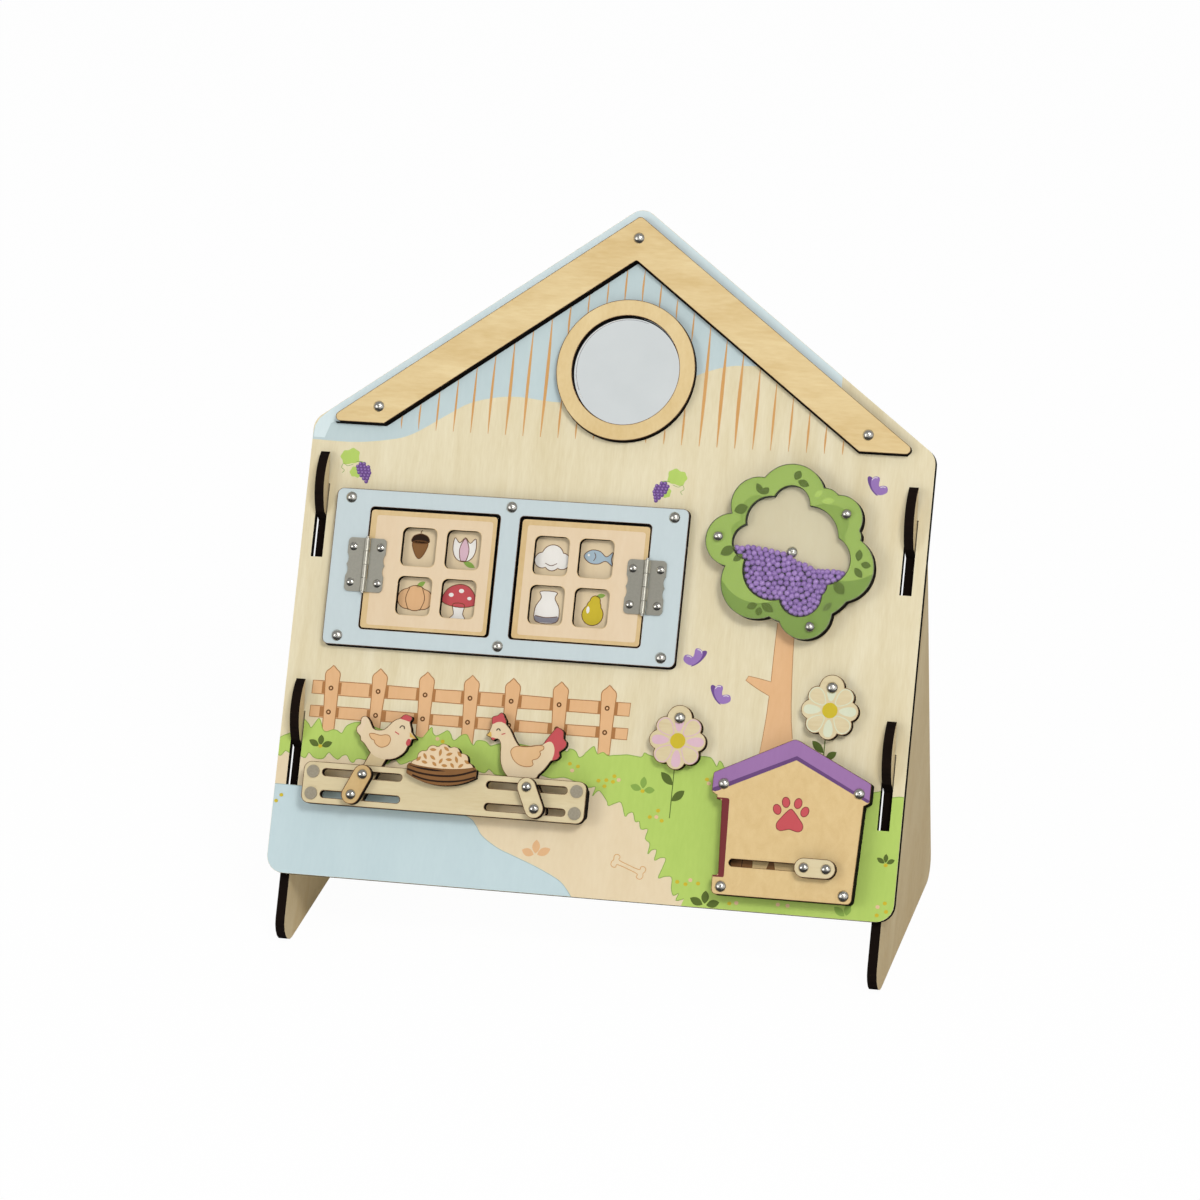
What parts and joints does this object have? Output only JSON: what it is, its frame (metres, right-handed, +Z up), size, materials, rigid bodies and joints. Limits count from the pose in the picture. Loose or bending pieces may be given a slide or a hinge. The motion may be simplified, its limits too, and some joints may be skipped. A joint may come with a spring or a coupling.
{
  "type": "wooden busy board",
  "caption": "House-shaped wooden busy board on two hooked side supports, with hinged shutters, a mirror, a turning bead tree crown, swinging flowers, sliding rocking hens and a sliding dog",
  "frame": {"origin": "centre of the footprint, on the ground", "axes": "+X to the right of someone who faces the board, +Y to the back, +Z up"},
  "size_m": [0.4, 0.2585, 0.4026],
  "materials": {
    "birch_board": "satin, printed",
    "birch_support": "satin, clear",
    "golden_birch": "satin, clear",
    "blue_wood": "satin, printed",
    "leaf_green_wood": "gloss, printed",
    "kennel_wood": "satin, printed",
    "feed_wood": "satin, printed",
    "pink_wood": "satin, printed",
    "white_wood": "satin, printed",
    "cream_wood": "satin, printed",
    "steel": "polished",
    "dull_steel": "matt",
    "rivet_grey": "matt",
    "mirror": "mirror",
    "clear_acrylic": "clear, polished",
    "purple_beads": "glossy"
  },
  "bodies": {
    "board": {"front_board": "birch_board", "roof_trim": "golden_birch", "mirror_ring": "golden_birch", "mirror_disc": "mirror", "window_frame": "blue_wood", "hinge_frame_leaves": "dull_steel", "hinge_pins": "dull_steel", "hinge_frame_rivets": "steel", "rail_plate": "birch_board", "rail_spacers": "birch_board", "rail_rivets": "rivet_grey", "feed_bowl": "feed_wood", "kennel_front": "kennel_wood", "kennel_spacer": "kennel_wood", "trim_screws": "steel", "frame_screws": "steel", "kennel_screws": "steel", "crown_pivot_screw": "steel", "crown_spacer": "steel", "flower_screws": "steel", "flower_spacers": "steel", "barrel_nuts": "steel"},
    "left_shutter": {"left_shutter_panel": "golden_birch", "left_shutter_leaf": "dull_steel", "left_shutter_rivets": "steel"},
    "right_shutter": {"right_shutter_panel": "golden_birch", "right_shutter_leaf": "dull_steel", "right_shutter_rivets": "steel"},
    "tree_crown": {"crown_back": "birch_board", "crown_ring": "leaf_green_wood", "crown_cover": "clear_acrylic", "crown_screws": "steel", "crown_beads": "purple_beads"},
    "pink_flower": {"pink_flower": "pink_wood"},
    "white_flower": {"white_flower": "white_wood"},
    "left_hen_slider": {"left_hen_upper_pin": "steel"},
    "left_hen": {"left_hen_figure": "cream_wood", "left_hen_link": "golden_birch", "left_hen_lower_pin": "steel"},
    "right_hen_slider": {"right_hen_upper_pin": "steel"},
    "right_hen": {"right_hen_figure": "cream_wood", "right_hen_link": "golden_birch", "right_hen_lower_pin": "steel"},
    "dog_slider": {"dog_figure": "kennel_wood", "dog_knob": "birch_board", "dog_knob_screws": "steel"},
    "left_side": {"left_side_support": "birch_support"},
    "right_side": {"right_side_support": "birch_support"}
  },
  "joints": [
    {"name": "left_shutter_swing", "type": "hinge", "parent": "board", "child": "left_shutter", "pos_m": [-0.15465, -0.01205, 0.2111], "axis": [0, -0.5592, -0.829], "range_deg": [0, 160]},
    {"name": "right_shutter_swing", "type": "hinge", "parent": "board", "child": "right_shutter", "pos_m": [0.02665, -0.01334, 0.20919], "axis": [0, 0.5592, 0.829], "range_deg": [0, 160]},
    {"name": "crown_turn", "type": "hinge", "parent": "board", "child": "tree_crown", "pos_m": [0.1168, 0.00328, 0.23151], "axis": [0, -0.829, 0.5592], "continuous": true},
    {"name": "pink_flower_swing", "type": "hinge", "parent": "board", "child": "pink_flower", "pos_m": [0.0569, -0.05495, 0.1416], "axis": [0, -0.829, 0.5592], "continuous": true},
    {"name": "white_flower_swing", "type": "hinge", "parent": "board", "child": "white_flower", "pos_m": [0.1502, -0.0408, 0.16258], "axis": [0, -0.829, 0.5592], "continuous": true},
    {"name": "left_hen_slide", "type": "slide", "parent": "board", "child": "left_hen_slider", "axis": [1, 0, 0], "range_m": [-0.0165, 0.0165]},
    {"name": "left_hen_rock", "type": "hinge", "parent": "left_hen_slider", "child": "left_hen", "pos_m": [-0.13928, -0.08316, 0.09978], "axis": [0, -0.829, 0.5592], "range_deg": [0, 50]},
    {"name": "right_hen_slide", "type": "slide", "parent": "board", "child": "right_hen_slider", "axis": [-1, 0, 0], "range_m": [-0.0145, 0.018]},
    {"name": "right_hen_rock", "type": "hinge", "parent": "right_hen_slider", "child": "right_hen", "pos_m": [-0.03322, -0.08316, 0.09978], "axis": [0, 0.829, -0.5592], "range_deg": [0, 35]},
    {"name": "dog_slide", "type": "slide", "parent": "board", "child": "dog_slider", "axis": [-1, 0, 0], "range_m": [0, 0.045]},
    {"name": "left_support_unhook", "type": "slide", "parent": "board", "child": "left_side", "axis": [0, -0.5592, -0.829], "range_m": [0, 0.0235]},
    {"name": "right_support_unhook", "type": "slide", "parent": "board", "child": "right_side", "axis": [0, -0.5592, -0.829], "range_m": [0, 0.0235]}
  ]
}
